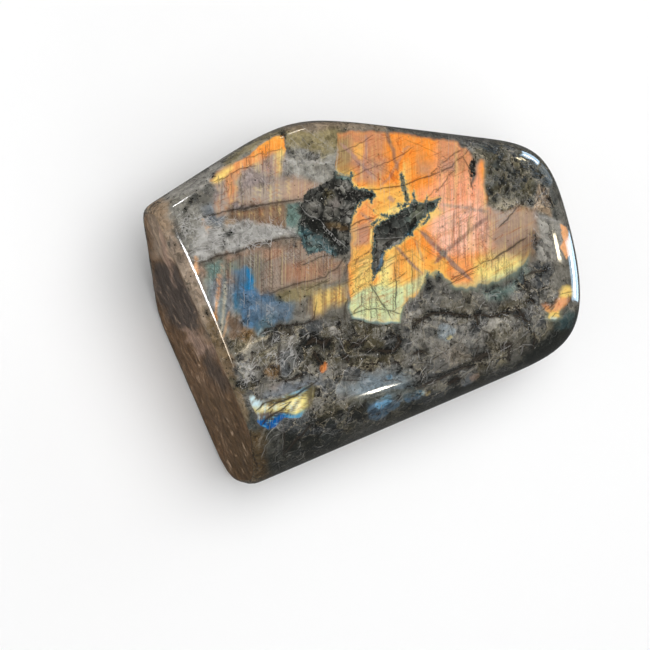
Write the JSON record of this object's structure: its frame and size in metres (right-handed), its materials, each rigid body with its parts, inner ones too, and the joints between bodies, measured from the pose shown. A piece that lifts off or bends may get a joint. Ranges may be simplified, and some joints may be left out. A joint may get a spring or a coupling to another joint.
{
  "type": "polished labradorite",
  "caption": "Hand-sized freeform of polished labradorite: a rounded block of dark feldspar with orange, gold and blue flash on its face, sawn flat at one end.",
  "frame": {"origin": "middle of the stone's length and width, on the flat back that it lies on", "axes": "+X from the sawn base to the rounded tip, +Y across the face, +Z from the back to the polished face"},
  "size_m": [0.1208, 0.0896, 0.0426],
  "materials": {
    "labradorite": "polished to a glassy shine, satin on the sawn base; dark grey with orange, gold, green and blue flash"
  },
  "bodies": {
    "root": {"stone": "labradorite"}
  },
  "joints": []
}
